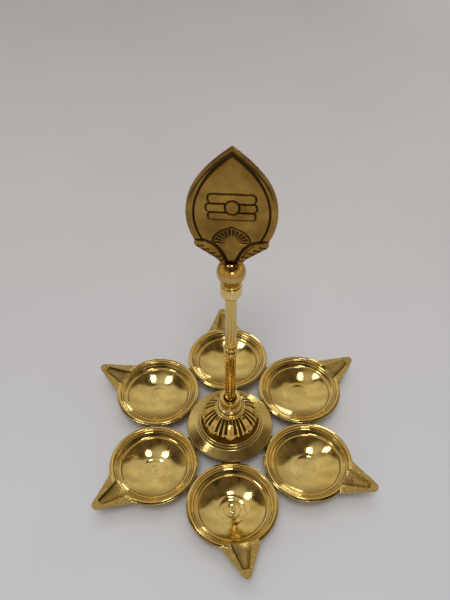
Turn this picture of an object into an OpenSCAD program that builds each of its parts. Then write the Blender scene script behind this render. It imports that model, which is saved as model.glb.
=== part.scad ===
// Six-cup brass standing oil lamp (samai) with a spear-leaf finial.
// Millimetres, +Z up. The origin is on the stem's axis, at the surface the lamp stands on.
// The leaf's front faces -Y. The six cups are the feet: the middle disc hangs between their rims.

/* [Cups] */
// Outer diameter of a cup's rim
cup_d = 49.8; // [40:0.2:60]
// Height of the rims above the surface the lamp stands on
cup_h = 18; // [17:0.5:20]
// Width of the flat ring on top of the rim
rim_w = 2; // [1.5:0.1:2.5]
// Space between neighbouring rims, filled only at the brazed seams
rim_gap = 0.2; // [0.1:0.05:0.4]
// Depth of the bowl below its ledge
bowl_depth = 4.3; // [3.5:0.1:5.5]

/* [Spouts] */
// Distance from the cup's centre to the spout's tip
spout_len = 40.9; // [38:0.1:44]
// How much higher the tip is than the rim
spout_rise = 1.5; // [0:0.1:3]
// How far each spout is turned from straight out, front cup first and then anticlockwise
spout_skew = [9.5, 3, 2, 4, 2.5, 10]; // [-12:0.5:12]

/* [Pedestal] */
// Top of the dome's neck above the rims
neck_top_rise = 27.4; // [27:0.1:32]
// Radius of the fluted dome at its scalloped edge
dome_r = 16; // [14:0.1:16.5]
// Number of petals round the dome, with three flutes between each two
petals = 8; // [6:1:10]

/* [Stem] */
// Diameter of the rod
rod_d = 5.8; // [5:0.1:6.4]
// Height of the joint between the two rods above the rims
joint_rise = 66.5; // [55:0.5:80]
// Length of the ring between the two rods
ring_l = 5.4; // [4:0.2:8]
// Diameter of the stud inside the joint
stud_d = 4; // [3:0.1:4.2]
// Radial space round each screw thread, so that the joint can turn
thread_play = 0.05; // [0.02:0.01:0.1]

/* [Finial] */
// Diameter of the ball
ball_d = 13.6; // [12:0.2:15]
// Height of the ball's centre above the rims
ball_rise = 124; // [110:0.5:140]
// Outer diameter of the socket under the ball
socket_d = 10.4; // [9:0.1:11]
// Widest part of the leaf
leaf_w = 38.8; // [36:0.2:42]
// Thickness of the leaf plate
leaf_t = 3; // [2:0.1:5]
// Angle at which the finial's thread stops, seen from above
leaf_turn = -5; // [-20:1:20]

/* [Hidden] */
$fn = 96;
brass = [0.80, 0.62, 0.25];
dark_brass = [0.55, 0.42, 0.16];
braze_colour = [0.30, 0.26, 0.16];
eps = 0.01;

// Ring of cups
cup_count = 6;
cup_step = 360 / cup_count;
first_cup = -90;
cup_r = cup_d / 2;
ring_r = cup_d + rim_gap;
cup_names = ["cup_front", "cup_front_right", "cup_back_right", "cup_back", "cup_back_left", "cup_front_left"];

// Cup section: a flat rim, a steep step, a ribbed slope, a ledge and then the bowl
rim_in_r = cup_r - rim_w;
rim_t = 1.8;
step_drop = 1.8;
rib_r = 0.79 * cup_r;
rib_z = cup_h - 2.9;
ledge_r = 0.7 * cup_r;
ledge_z = cup_h - 3.8;
bowl_r = (ledge_r * ledge_r + bowl_depth * bowl_depth) / (2 * bowl_depth);
bowl_z = ledge_z - bowl_depth + bowl_r;
belly_r = 32.4;
belly_z = 39.3;
foot_r = 10.5;
foot_w = 3.5;
foot_hollow_z = ledge_z - bowl_depth - 2.2;
shoulder_r = ledge_r + 1.9;
flare_r = cup_r - 1;
flare_z = cup_h - 3;

// Spout: straight sides to a round tip, an underside that climbs to the tip, a boat-shaped channel
side_angle = 26.6;
tip_r = 2.4;
tip_t = 2.2;
tip_x = spout_len - tip_r;
root_x = 0.7 * cup_r;
keel_z = 12;
keel_mid_x = 26;
keel_mid_z = 12.2;
channel_end_x = 36.2;
channel_end_r = 0.9;
channel_half_angle = 31;
channel_tilt = 14;
channel_l = 14.6;

// Pedestal
disc_r = cup_r;
disc_top = cup_h + 0.7;
disc_t = 1.9;
disc_bottom = disc_top - disc_t;
disc_edge_t = 1.4;
flange_top = cup_h + 2.3;
step_r = 18.9;
step_top = cup_h + 4.8;
seat_z = cup_h + 2;
dome_foot_r = 11.2;
foot_t = 1.5;
lip_t = 1.1;
dome_edge_z = cup_h + 10.3;
dome_top_r = 8.6;
dome_top_z = cup_h + 17.4;
dome_bulge = 15;
cove_bulge = 7;
flutes_per_petal = 4;
flute_w = 1.1;
flute_deep = 0.9;
neck_top = cup_h + neck_top_rise;
bead_r = 8.1;
bead_t = 2;
waist_r = 4.8;
waist_rise = 4.2;
collar_r = 5.8;
collar_t = 1.8;
neck_stem_r = 4;
fit = 0.03;
socket_depth = 12;
washer_r = 8;
washer_t = 1;
nut_flats = 13;
nut_t = 5;
thread_end_z = disc_bottom - washer_t - nut_t - 1.2;

// Stem
rod_r = rod_d / 2;
stud_r = stud_d / 2;
joint_z = cup_h + joint_rise;
ring_top = joint_z + ring_l;
stud_half = 8;
face_gap = 0.1;
lower_rod_z = neck_top - socket_depth + face_gap;
upper_rod_z = ring_top + face_gap;

// Finial
ball_r = ball_d / 2;
ball_z = cup_h + ball_rise;
socket_r = socket_d / 2;
socket_z = cup_h + 109.3;
socket_top = ball_z - ball_r + 0.8;
rod_top_z = socket_top - 3;
tang_r = 2;
tang_z = rod_top_z + 0.8;
leaf_tip_z = cup_h + 190.8;
leaf_wide_z = cup_h + 158;
leaf_side_r = 33;
leaf_corner_angle = -25.5;
lobe_x = 13.9;
lobe_z = cup_h + 142;
lobe_r = 2.4;
leaf_foot_w = 9.2;
leaf_foot_z = ball_z + ball_r - 1.5;
arc_steps = 16;

// Points along an arc round centre, from angle a to angle b
function arc(centre, r, a, b) =
    [for (i = [0:arc_steps]) let (t = a + (b - a) * i / arc_steps) centre + r * [cos(t), sin(t)]];

// Points along an arc of radius r from p to q: it bulges to the right of that way, or left if r < 0
function arc_between(p, q, r) =
    let (
        way = q - p,
        side = [-way[1], way[0]] / norm(way) * sign(r),
        centre = (p + q) / 2 + side * sqrt(r * r - norm(way) * norm(way) / 4),
        a = atan2(p[1] - centre[1], p[0] - centre[0]),
        b = atan2(q[1] - centre[1], q[0] - centre[0]),
        sweep = (b - a + 540) % 360 - 180
    )
    arc(centre, abs(r), a, a + sweep);

// Angle below the horizontal at which a circle of radius r reaches the distance x from its axis
function down_angle(r, x) = -acos(x / r);

// ---- Cups ----

function cup_inside() = concat(
    arc([0, bowl_z], bowl_r, -90, down_angle(bowl_r, ledge_r)),
    [[rib_r - 1.4, ledge_z + 0.4], [rib_r, rib_z], [rim_in_r - 0.5, cup_h - step_drop], [rim_in_r, cup_h]]);

function cup_outside() = concat(
    [[cup_r, cup_h], [cup_r, cup_h - rim_t], [flare_r, flare_z]],
    arc([0, belly_z], belly_r, down_angle(belly_r, shoulder_r), down_angle(belly_r, foot_r)),
    [[foot_r, 0], [foot_r - foot_w, 0], [foot_r - foot_w, foot_hollow_z], [0, foot_hollow_z]]);

// The cup's outer form, still solid
module cup_block() {
    rotate_extrude()
        polygon(concat([[0, cup_h]], cup_outside()));
}

// The space inside the bowl, run on above the rim
module bowl_space() {
    rotate_extrude()
        polygon(concat(cup_inside(), [[rim_in_r, cup_h + 2], [0, cup_h + 2]]));
}

// Side view of the spout: a sloping lip on top and a keel that climbs from the bowl to the tip
module spout_side() {
    lip_slope = spout_rise / (spout_len - cup_r);
    polygon([[root_x, keel_z], [keel_mid_x, keel_mid_z], [spout_len, cup_h + spout_rise - tip_t],
        [spout_len, cup_h + spout_rise], [root_x, cup_h - lip_slope * (cup_r - root_x)]]);
}

// A round-nosed cone along the lip, cut to the spout's side view
module spout_blank() {
    nose_steps = 5;
    cone_start = root_x - 1;
    nose = [for (i = [0:nose_steps]) let (t = (90 - side_angle) * i / nose_steps)
        [tip_r * sin(t), tip_x + tip_r * cos(t)]];
    cone_end = nose[nose_steps];
    cone_root_r = cone_end[0] + (cone_end[1] - cone_start) * tan(side_angle);
    lip_angle = atan2(spout_rise, spout_len - cup_r);
    intersection() {
        translate([spout_len, 0, cup_h + spout_rise])
            rotate([0, 90 - lip_angle, 0])
                translate([0, 0, -spout_len])
                    rotate_extrude()
                        polygon(concat(nose, [[cone_root_r, cone_start], [0, cone_start]]));
        rotate([90, 0, 0])
            linear_extrude(cup_d, center = true)
                spout_side();
    }
}

// A round cutter that lies along the spout and deepens towards the bowl
module spout_channel() {
    end_z = cup_h + spout_rise * (channel_end_x - cup_r) / (spout_len - cup_r);
    translate([channel_end_x, 0, end_z])
        rotate([0, channel_tilt - 90, 0])
            cylinder(h = channel_l, r1 = channel_end_r,
                r2 = channel_end_r + channel_l * tan(channel_half_angle));
}

module cup(index) {
    color(brass)
        rotate([0, 0, first_cup + index * cup_step])
            translate([ring_r, 0, 0])
                rotate([0, 0, spout_skew[index]])
                    difference() {
                        union() {
                            cup_block();
                            spout_blank();
                        }
                        bowl_space();
                        spout_channel();
                    }
}

// A brazed seam between two rims that nearly touch: it fills the narrow notch on both sides
module braze_seam(angle, distance, turn, top) {
    seam_r = 6;
    seam_t = 1.6;
    seam_fn = 360;
    rotate([0, 0, angle])
        translate([distance, 0, top - seam_t])
            rotate([0, 0, turn])
                difference() {
                    cylinder(h = seam_t, r = seam_r);
                    for (side = [-1, 1])
                        translate([side * ring_r / 2, 0, -eps])
                            cylinder(h = seam_t + 2 * eps, r = cup_r, $fn = seam_fn);
                }
}

module cup_brazes() {
    color(braze_colour)
        for (i = [0:cup_count - 1])
            braze_seam(first_cup + (i + 0.5) * cup_step, ring_r * cos(cup_step / 2), 90, cup_h - 0.1);
}

module disc_brazes() {
    color(braze_colour)
        for (i = [0:cup_count - 1])
            braze_seam(first_cup + i * cup_step, ring_r / 2, 0, cup_h - 0.1);
}

// ---- Pedestal ----

module base_disc() {
    edge_round = 0.3;
    bead_round = 0.8;
    bead_set_back = 1.3;
    step_w = 3.2;
    low_bead = [step_r - bead_round, flange_top + bead_round];
    high_bead = [step_r - bead_set_back - bead_round, step_top - bead_round];
    edge_top = disc_bottom + disc_edge_t;
    color(brass)
        rotate_extrude()
            polygon(concat(
                [[neck_stem_r + fit, disc_bottom], [disc_r, disc_bottom], [disc_r, edge_top - edge_round],
                    [disc_r - edge_round, edge_top]],
                arc(low_bead, bead_round, -60, 90),
                arc(high_bead, bead_round, 0, 180),
                [[step_r - step_w, seat_z], [neck_stem_r + fit, seat_z]]));
}

// A straight cutter laid along the dome's slope
module flute() {
    slope = atan2(dome_top_z - dome_edge_z, dome_r - dome_top_r);
    flute_l = dome_r - dome_top_r + 3;
    bulge_rise = 1.5;
    translate([(dome_r + dome_top_r) / 2, 0, (dome_edge_z + dome_top_z) / 2])
        rotate([0, slope, 0])
            translate([0, 0, bulge_rise])
                cube([flute_l, flute_w, 2 * flute_deep], center = true);
}

module lotus_dome() {
    flute_count = petals * flutes_per_petal;
    lip_under = [dome_r - lip_t, dome_edge_z - lip_t];
    color(brass)
        difference() {
            rotate_extrude()
                polygon(concat(
                    [[neck_stem_r + fit, seat_z], [dome_foot_r, seat_z]],
                    arc_between([dome_foot_r, seat_z + foot_t], lip_under, -cove_bulge),
                    arc_between([dome_r, dome_edge_z], [dome_top_r, dome_top_z], dome_bulge),
                    [[neck_stem_r + fit, dome_top_z]]));
            for (i = [0:flute_count - 1])
                if (i % flutes_per_petal != 0)
                    rotate([0, 0, first_cup + i * 360 / flute_count])
                        flute();
        }
}

// Turned neck with the thread that holds the dome and disc, and a socket for the rod
module neck_collar() {
    bead_top = dome_top_z + bead_t;
    collar_bottom = neck_top - collar_t;
    countersink = 1;
    color(brass)
        rotate_extrude()
            polygon(concat(
                [[0, thread_end_z], [neck_stem_r, thread_end_z], [neck_stem_r, dome_top_z]],
                arc([bead_r - bead_t / 2, dome_top_z + bead_t / 2], bead_t / 2, -90, 90),
                arc_between([waist_r + 1, bead_top], [waist_r, bead_top + waist_rise], -waist_rise),
                [[waist_r, collar_bottom - 0.8]],
                arc([collar_r - collar_t / 2, neck_top - collar_t / 2], collar_t / 2, -70, 90),
                [[rod_r + thread_play + countersink, neck_top], [rod_r + thread_play, neck_top - countersink],
                    [rod_r + thread_play, neck_top - socket_depth], [0, neck_top - socket_depth]]));
}

module base_washer() {
    color(dark_brass)
        translate([0, 0, disc_bottom - washer_t])
            difference() {
                cylinder(h = washer_t, r = washer_r);
                translate([0, 0, -eps])
                    cylinder(h = washer_t + 2 * eps, r = neck_stem_r + fit);
            }
}

module base_nut() {
    color(dark_brass)
        translate([0, 0, disc_bottom - washer_t - nut_t])
            difference() {
                cylinder(h = nut_t, d = nut_flats / cos(30), $fn = 6);
                translate([0, 0, -eps])
                    cylinder(h = nut_t + 2 * eps, r = neck_stem_r + fit);
            }
}

// ---- Stem ----

module rod(bottom, top, hole_z, hole_l, hole_r) {
    difference() {
        translate([0, 0, bottom])
            cylinder(h = top - bottom, r = rod_r);
        translate([0, 0, hole_z])
            cylinder(h = hole_l, r = hole_r);
    }
}

module lower_rod() {
    color(brass)
        rod(lower_rod_z, joint_z, joint_z - stud_half, stud_half + eps, stud_r + fit);
}

module upper_rod() {
    color(brass)
        rod(upper_rod_z, rod_top_z, upper_rod_z - eps, stud_half, stud_r + thread_play);
}

module coupling_ring() {
    bead = 0.55;
    color(brass)
        rotate_extrude()
            polygon(concat(
                [[stud_r + fit, joint_z], [rod_r, joint_z]],
                arc([rod_r - 0.35, joint_z + bead + 0.1], bead, -50, 50),
                [[rod_r - 0.1, joint_z + 2 * bead + 0.3], [rod_r - 0.1, ring_top - 2 * bead - 0.3]],
                arc([rod_r - 0.35, ring_top - bead - 0.1], bead, -50, 50),
                [[rod_r, ring_top], [stud_r + fit, ring_top]]));
}

module coupling_stud() {
    bottom = joint_z - stud_half + face_gap;
    color(dark_brass)
        translate([0, 0, bottom])
            cylinder(h = upper_rod_z + stud_half - 2 * face_gap - bottom, r = stud_r);
}

// ---- Finial ----

module finial_socket() {
    lip = 1.2;
    color(brass)
        rotate_extrude()
            polygon(concat(
                [[rod_r + thread_play, socket_z]],
                arc([socket_r - lip, socket_z + lip], lip, -90, 0),
                arc([socket_r - lip, socket_top - 1.4 - lip], lip, 0, 90),
                [[3.4, socket_top - 1.2], [4.1, socket_top - 0.6], [3.4, socket_top],
                    [tang_r + fit, socket_top], [tang_r + fit, rod_top_z + face_gap],
                    [rod_r + thread_play, rod_top_z + face_gap]]));
}

module finial_ball() {
    color(brass)
        difference() {
            translate([0, 0, ball_z])
                sphere(ball_r);
            translate([0, 0, ball_z - ball_r - 1])
                cylinder(h = ball_d + 2, r = tang_r + fit);
            translate([0, 0, ball_z - ball_r - 1])
                cylinder(h = socket_top + 1 - ball_z + ball_r, r = 3.5);
        }
}

// Right half of the leaf's outline, from the tip down to the foot
function leaf_half() =
    let (
        foot_x = leaf_foot_w / 2,
        centre = [leaf_w / 2 - leaf_side_r, leaf_wide_z],
        tip = [0, leaf_tip_z],
        reach = norm(tip - centre),
        touch_angle = atan2(tip[1] - centre[1], tip[0] - centre[0]) - acos(leaf_side_r / reach)
    )
    concat([tip], arc(centre, leaf_side_r, touch_angle, leaf_corner_angle),
        arc([lobe_x, lobe_z], lobe_r, 20, -60),
        [[foot_x + 2.2, leaf_foot_z + 4.2], [foot_x, leaf_foot_z + 1], [foot_x, leaf_foot_z]]);

function flip_x(points) = [for (i = [len(points) - 1:-1:1]) [-points[i][0], points[i][1]]];

module finial_leaf() {
    color(dark_brass)
        rotate([0, 0, leaf_turn]) {
            difference() {
                rotate([90, 0, 0])
                    linear_extrude(leaf_t, center = true)
                        polygon(concat(leaf_half(), flip_x(leaf_half())));
                translate([0, 0, ball_z])
                    sphere(ball_r + fit);
            }
            translate([0, 0, tang_z])
                cylinder(h = leaf_foot_z + 2 - tang_z, r = tang_r - eps);
        }
}

for (i = [0:cup_count - 1])
    cup(i);
base_disc();
lotus_dome();
neck_collar();
base_washer();
base_nut();
cup_brazes();
disc_brazes();
lower_rod();
coupling_ring();
coupling_stud();
upper_rod();
finial_socket();
finial_ball();
finial_leaf();
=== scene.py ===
"""Looks for the six-cup brass standing oil lamp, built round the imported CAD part.

Mesh code works in millimetres in the CAD's own frame, and add_piece() turns it into metres.
"""

import math

import bmesh
import bpy
import numpy as np
from mathutils import Matrix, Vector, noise


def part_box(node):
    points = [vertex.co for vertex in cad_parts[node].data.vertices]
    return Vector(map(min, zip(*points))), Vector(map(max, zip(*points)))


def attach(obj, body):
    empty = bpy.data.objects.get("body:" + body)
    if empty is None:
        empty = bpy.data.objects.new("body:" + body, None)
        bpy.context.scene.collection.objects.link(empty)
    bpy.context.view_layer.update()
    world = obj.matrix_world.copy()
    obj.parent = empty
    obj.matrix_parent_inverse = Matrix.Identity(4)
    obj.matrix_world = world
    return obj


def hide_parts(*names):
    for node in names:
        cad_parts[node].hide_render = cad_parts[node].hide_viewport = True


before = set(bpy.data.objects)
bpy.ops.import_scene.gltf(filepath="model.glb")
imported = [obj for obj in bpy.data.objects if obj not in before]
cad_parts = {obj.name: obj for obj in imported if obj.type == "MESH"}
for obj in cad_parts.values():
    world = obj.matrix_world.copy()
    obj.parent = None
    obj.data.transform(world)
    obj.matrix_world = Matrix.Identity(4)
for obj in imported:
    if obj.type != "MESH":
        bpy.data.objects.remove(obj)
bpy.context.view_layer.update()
MM = 0.001
FULL_TURN = 2 * math.pi


def box_mm(node):
    """Lowest and highest corner of a CAD node, in millimetres."""
    low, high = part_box(node)
    return np.array(low) / MM, np.array(high) / MM


# ---- Sizes, from the frame where it has them ----

DISC_LOW, DISC_HIGH = box_mm("base_disc")
DOME_LOW, DOME_HIGH = box_mm("lotus_dome")
NECK_LOW, NECK_HIGH = box_mm("neck_collar")
LOWER_ROD_LOW, LOWER_ROD_HIGH = box_mm("lower_rod")
UPPER_ROD_LOW, UPPER_ROD_HIGH = box_mm("upper_rod")
RING_LOW, RING_HIGH = box_mm("coupling_ring")
SOCKET_LOW, SOCKET_HIGH = box_mm("finial_socket")
BALL_LOW, BALL_HIGH = box_mm("finial_ball")
STUD_LOW, STUD_HIGH = box_mm("coupling_stud")
WASHER_LOW, WASHER_HIGH = box_mm("base_washer")
NUT_LOW, NUT_HIGH = box_mm("base_nut")
LEAF_TIP_Z = box_mm("finial_leaf")[1][2]
SEAM_TOP = box_mm("cup_brazes")[1][2]

# Cups, in millimetres like everything below
CUP_NAMES = ["cup_front", "cup_front_right", "cup_back_right", "cup_back", "cup_back_left", "cup_front_left"]
CUP_R = DISC_HIGH[0]
RIM_Z = SEAM_TOP + 0.1
RING_R = 2 * CUP_R + 0.2  # from the stem to each cup's middle
FIRST_CUP = math.radians(-90)
CUP_STEP = FULL_TURN / len(CUP_NAMES)
RIM_IN_R = CUP_R - 2
RIM_T = 1.8
LEDGE_R = 0.715 * CUP_R  # the ring where the bowl meets the slope up to the rim
LEDGE_Z = RIM_Z - 3.8
FLOOR_Z = LEDGE_Z - 4.3
BOWL_FLATNESS = 2.0  # power of the bowl's section: 2 is a parabola
BELLY_R = 32.4  # radius and middle of the round underside
BELLY_Z = 39.3
SHOULDER_R = LEDGE_R + 1.9
FOOT_R = 10.5
FOOT_W = 3.5

# Spouts
SPOUT_LEN = 40.9
SPOUT_RISE = 1.5
SPOUT_SIDE = math.radians(26.6)
SPOUT_SECTOR = math.radians(27)  # half of the cup's turn that the spout may reach into
TIP_R = 2.4
TIP_X = SPOUT_LEN - TIP_R
CHANNEL_END_X = 35.7
SPOUT_SKEW = [9.5, 3, 2, 4, 2.5, 10]  # degrees each cup's spout points to one side
CENTRE_MARKS = [1.0, 0.35, 0.5, 0.25, 0.3, 0.45]  # how strong the rings in the middle of each bowl are

# Disc and dome
FLANGE_IN_R = 18.6  # where the flange meets the step
SEAT_R = 15.8  # the step's inner wall, round the dome's foot
PETALS = 8
DIVISIONS = 4 * PETALS
DOME_R = 16.0
DOME_EDGE_Z = RIM_Z + 10.3
DOME_TOP_R = 8.3
DOME_BULGE = 0.8
DOME_OUT_R, DOME_OUT_Z = 0.74, 0.67  # the way out of the dome's side, along r and z
CLEAR_R = 4.1  # holes that the neck's 4 mm thread passes through

# Stem and finial
ROD_R = LOWER_ROD_HIGH[0]
ROD_BORE_R = ROD_R + 0.05
STUD_HOLE_R = 2.04
BALL_R = BALL_HIGH[0]
BALL_Z = (BALL_LOW[2] + BALL_HIGH[2]) / 2
LEAF_TURN = math.radians(-5)
LEAF_W = 38.8
EDGE_HALF_T = 0.9
SHOULDER_REACH = 9.0
LEAF_FOOT_Z = BALL_HIGH[2] - 1.5


# ---- Mesh helpers ----


def ease(values, low, high):
    """0 at low, 1 at high and a smooth step between, in either order."""
    t = np.clip((values - low) / (high - low), 0, 1)
    return t * t * (3 - 2 * t)


def rounded(corners, steps=5, closed=False):
    """Turns the corners (r, z, size) of a profile into smooth bends of about that size."""
    points = []
    for i, (r, z, size) in enumerate(corners):
        here = np.array([r, z], float)
        if size == 0 or (not closed and i in (0, len(corners) - 1)):
            points.append(here)
            continue
        before = np.array(corners[i - 1][:2], float) - here
        after = np.array(corners[(i + 1) % len(corners)][:2], float) - here
        reach_before = min(size / np.linalg.norm(before), 0.48)
        reach_after = min(size / np.linalg.norm(after), 0.48)
        start, end = here + before * reach_before, here + after * reach_after
        for t in np.linspace(0, 1, steps + 1):
            points.append((1 - t) ** 2 * start + 2 * t * (1 - t) * here + t**2 * end)
    return np.array(points)


def arc(centre, radius, first, last, steps=16):
    """Points of an arc, from one angle to another in degrees."""
    angles = np.radians(np.linspace(first, last, steps + 1))
    return np.column_stack([centre[0] + radius * np.cos(angles), centre[1] + radius * np.sin(angles)])


def even_steps(points, step):
    """The same line with a point every step, so that a mesh made from it has even faces."""
    points = np.asarray(points, float)
    gaps = np.linalg.norm(np.diff(points, axis=0), axis=1)
    along = np.concatenate([[0], np.cumsum(gaps)])
    wanted = np.linspace(0, along[-1], max(2, int(along[-1] / step) + 1))
    wanted = np.unique(np.concatenate([wanted, along]).round(4))
    return np.column_stack([np.interp(wanted, along, points[:, k]) for k in (0, 1)])


def angles_round(columns):
    """That many directions round the Z axis, in radians."""
    return np.linspace(0, FULL_TURN, columns, endpoint=False)


def points_at(x, y, z):
    """One (x, y, z) point after the other, row by row; a plain number stands for a whole grid of it."""
    return np.stack(np.broadcast_arrays(x, y, z), axis=-1).reshape(-1, 3)


def smooth_noise(points, size, seed):
    """Noise from -1 to 1 at each point, with lumps of about that size in millimetres."""
    shift = np.array([17.3, 5.1, 9.7]) * seed
    return np.array([noise.noise(p) for p in (points / size + shift)])


def grid_faces(rows, columns, wrap_rows=False):
    """Quads of a grid whose columns wrap round, and whose rows may too."""
    row = np.arange(rows if wrap_rows else rows - 1)[:, None]
    column = np.arange(columns)[None, :]
    next_row = (row + 1) % rows
    next_column = (column + 1) % columns
    quads = [row * columns + column, row * columns + next_column,
             next_row * columns + next_column, next_row * columns + column]
    return np.stack(quads, axis=-1).reshape(-1, 4)


def add_piece(name, verts, faces, body, nodes, slot, material, marks=None, place=None):
    """Makes a smooth, closed piece from millimetre vertices, rides it on a body and hides its CAD nodes.

    The vertices are given in the piece's own frame, which place turns and moves. The mark "own_place" keeps
    them as they were, so that tool marks follow the piece's own axis.
    """
    own = np.asarray(verts, float) * MM
    placed = own
    if place is not None:
        placed = own @ np.array(place.to_3x3()).T + np.array(place.to_translation())
    mesh = bpy.data.meshes.new(name)
    mesh.from_pydata(placed.tolist(), [], [list(f) for f in faces])
    layer = mesh.attributes.new("own_place", "FLOAT_VECTOR", "POINT")
    layer.data.foreach_set("vector", own.astype(np.float32).ravel())
    for label, values in (marks or {}).items():
        layer = mesh.attributes.new(label, "FLOAT", "POINT")
        layer.data.foreach_set("value", np.asarray(values, np.float32).ravel())
    work = bmesh.new()
    work.from_mesh(mesh)
    bmesh.ops.remove_doubles(work, verts=work.verts, dist=1e-6)
    bmesh.ops.dissolve_degenerate(work, edges=work.edges, dist=1e-7)
    bmesh.ops.recalc_face_normals(work, faces=work.faces)
    work.to_mesh(mesh)
    work.free()
    mesh.polygons.foreach_set("use_smooth", [True] * len(mesh.polygons))
    mesh.materials.append(material)
    piece = bpy.data.objects.new(name, mesh)
    bpy.context.scene.collection.objects.link(piece)
    piece.modifiers.new("even_shading", "WEIGHTED_NORMAL")
    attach(piece, body)
    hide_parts(*nodes)
    return piece


def turned(name, profile, body, node, slot, material, columns=160, closed=False, wobble=0.0, seed=1,
           dark=None):
    """A piece turned on a lathe from (r, z) points, with its hand-made wobble in millimetres.

    dark gives how dark the metal is at each r and z, as patina and as painted shade.
    """
    profile = np.asarray(profile, float)
    angles = angles_round(columns)
    r = np.repeat(profile[:, 0:1], columns, axis=1)
    z = np.repeat(profile[:, 1:2], columns, axis=1)
    verts = points_at(r * np.cos(angles), r * np.sin(angles), z)
    if wobble:
        away = verts[:, :2] / np.maximum(np.linalg.norm(verts[:, :2], axis=1, keepdims=True), 1e-6)
        lumps = smooth_noise(verts * [1, 1, 0.12], 4.0, seed)[:, None]
        verts[:, :2] += away * lumps * wobble * ease(r.ravel(), 0, 0.5)[:, None]
    faces = grid_faces(len(profile), columns, wrap_rows=closed)
    marks = {"dark": dark(r, z)} if dark else None
    return add_piece(name, verts, faces, body, [node], slot, material, marks)


def distance_to_line(x, z, points):
    """Distance from each (x, z) to a line through the points."""
    nearest = np.full(x.shape, np.inf)
    for (x0, z0), (x1, z1) in zip(points[:-1], points[1:]):
        dx, dz = x1 - x0, z1 - z0
        t = np.clip(((x - x0) * dx + (z - z0) * dz) / (dx * dx + dz * dz), 0, 1)
        nearest = np.minimum(nearest, np.hypot(x - x0 - t * dx, z - z0 - t * dz))
    return nearest


def groove(distance, half_width):
    """1 in the middle of a cut of that half width, 0 outside it."""
    return ease(np.abs(distance), half_width * 1.25, half_width * 0.45)


# ---- Materials ----


class Nodes:
    """Fills an empty node tree, a node at a time."""

    def __init__(self, tree):
        self.tree = tree
        self.tree.nodes.clear()

    def add(self, kind, inputs=None, **settings):
        """A node with those settings; each input is another node's output or a plain value."""
        node = self.tree.nodes.new(kind)
        for key, value in settings.items():
            setattr(node, key, value)
        for key, value in (inputs or {}).items():
            if isinstance(value, bpy.types.NodeSocket):
                self.tree.links.new(value, node.inputs[key])
            else:
                node.inputs[key].default_value = value
        return node

    def ramp(self, value, low, high, out_low=0.0, out_high=1.0):
        """Maps low..high to out_low..out_high, held at both ends."""
        inputs = {"Value": value, "From Min": low, "From Max": high, "To Min": out_low, "To Max": out_high}
        return self.add("ShaderNodeMapRange", inputs, clamp=True).outputs["Result"]

    def maths(self, operation, a, b=0.0):
        return self.add("ShaderNodeMath", {0: a, 1: b}, operation=operation).outputs["Value"]

    def blend(self, amount, a, b):
        """Mixes two colours, through the sockets that a Mix node has for them."""
        factor, first, second, mixed = 0, 6, 7, 2
        inputs = {factor: amount, first: a, second: b}
        return self.add("ShaderNodeMix", inputs, data_type="RGBA").outputs[mixed]


class Shader(Nodes):
    """Builds one node material."""

    def __init__(self, name):
        self.material = bpy.data.materials.new(name)
        self.material.use_nodes = True
        super().__init__(self.material.node_tree)
        self.output = self.add("ShaderNodeOutputMaterial")

    def mark(self, label):
        """A mesh attribute, as a number from 0 to 1."""
        return self.add("ShaderNodeAttribute", attribute_name=label).outputs["Fac"]

    def own_place(self):
        """Each point's place in the piece's own frame, in metres."""
        return self.add("ShaderNodeAttribute", attribute_name="own_place").outputs["Vector"]

    def noise(self, place, scale, detail=3.0, roughness=0.55, seed=0.0):
        inputs = {"Vector": place, "Scale": scale, "Detail": detail, "Roughness": roughness, "W": seed}
        return self.add("ShaderNodeTexNoise", inputs, noise_dimensions="4D").outputs["Fac"]

    def bump(self, height, depth_mm, strength=1.0, below=None):
        inputs = {"Height": height, "Distance": depth_mm * MM, "Strength": strength}
        if below is not None:
            inputs["Normal"] = below
        return self.add("ShaderNodeBump", inputs).outputs["Normal"]

    def finish(self, colour, roughness, normal):
        """A metal surface with that colour, roughness and bump."""
        inputs = {"Base Color": colour, "Metallic": 1.0, "Roughness": roughness, "Normal": normal}
        surface = self.add("ShaderNodeBsdfPrincipled", inputs)
        self.tree.links.new(surface.outputs["BSDF"], self.output.inputs["Surface"])
        return self.material


GOLD = (0.83, 0.65, 0.26, 1)
DEEP_GOLD = (0.72, 0.52, 0.15, 1)
TARNISH = (0.30, 0.19, 0.05, 1)
# Near-black brown for patina in hollows, and for painted shade on edges and in recesses.
PATINA_AND_PAINTED_SHADE = (0.035, 0.022, 0.012, 1)


def per_mm(features):
    """Texture scale for that many features in a millimetre."""
    return features / MM


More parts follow.
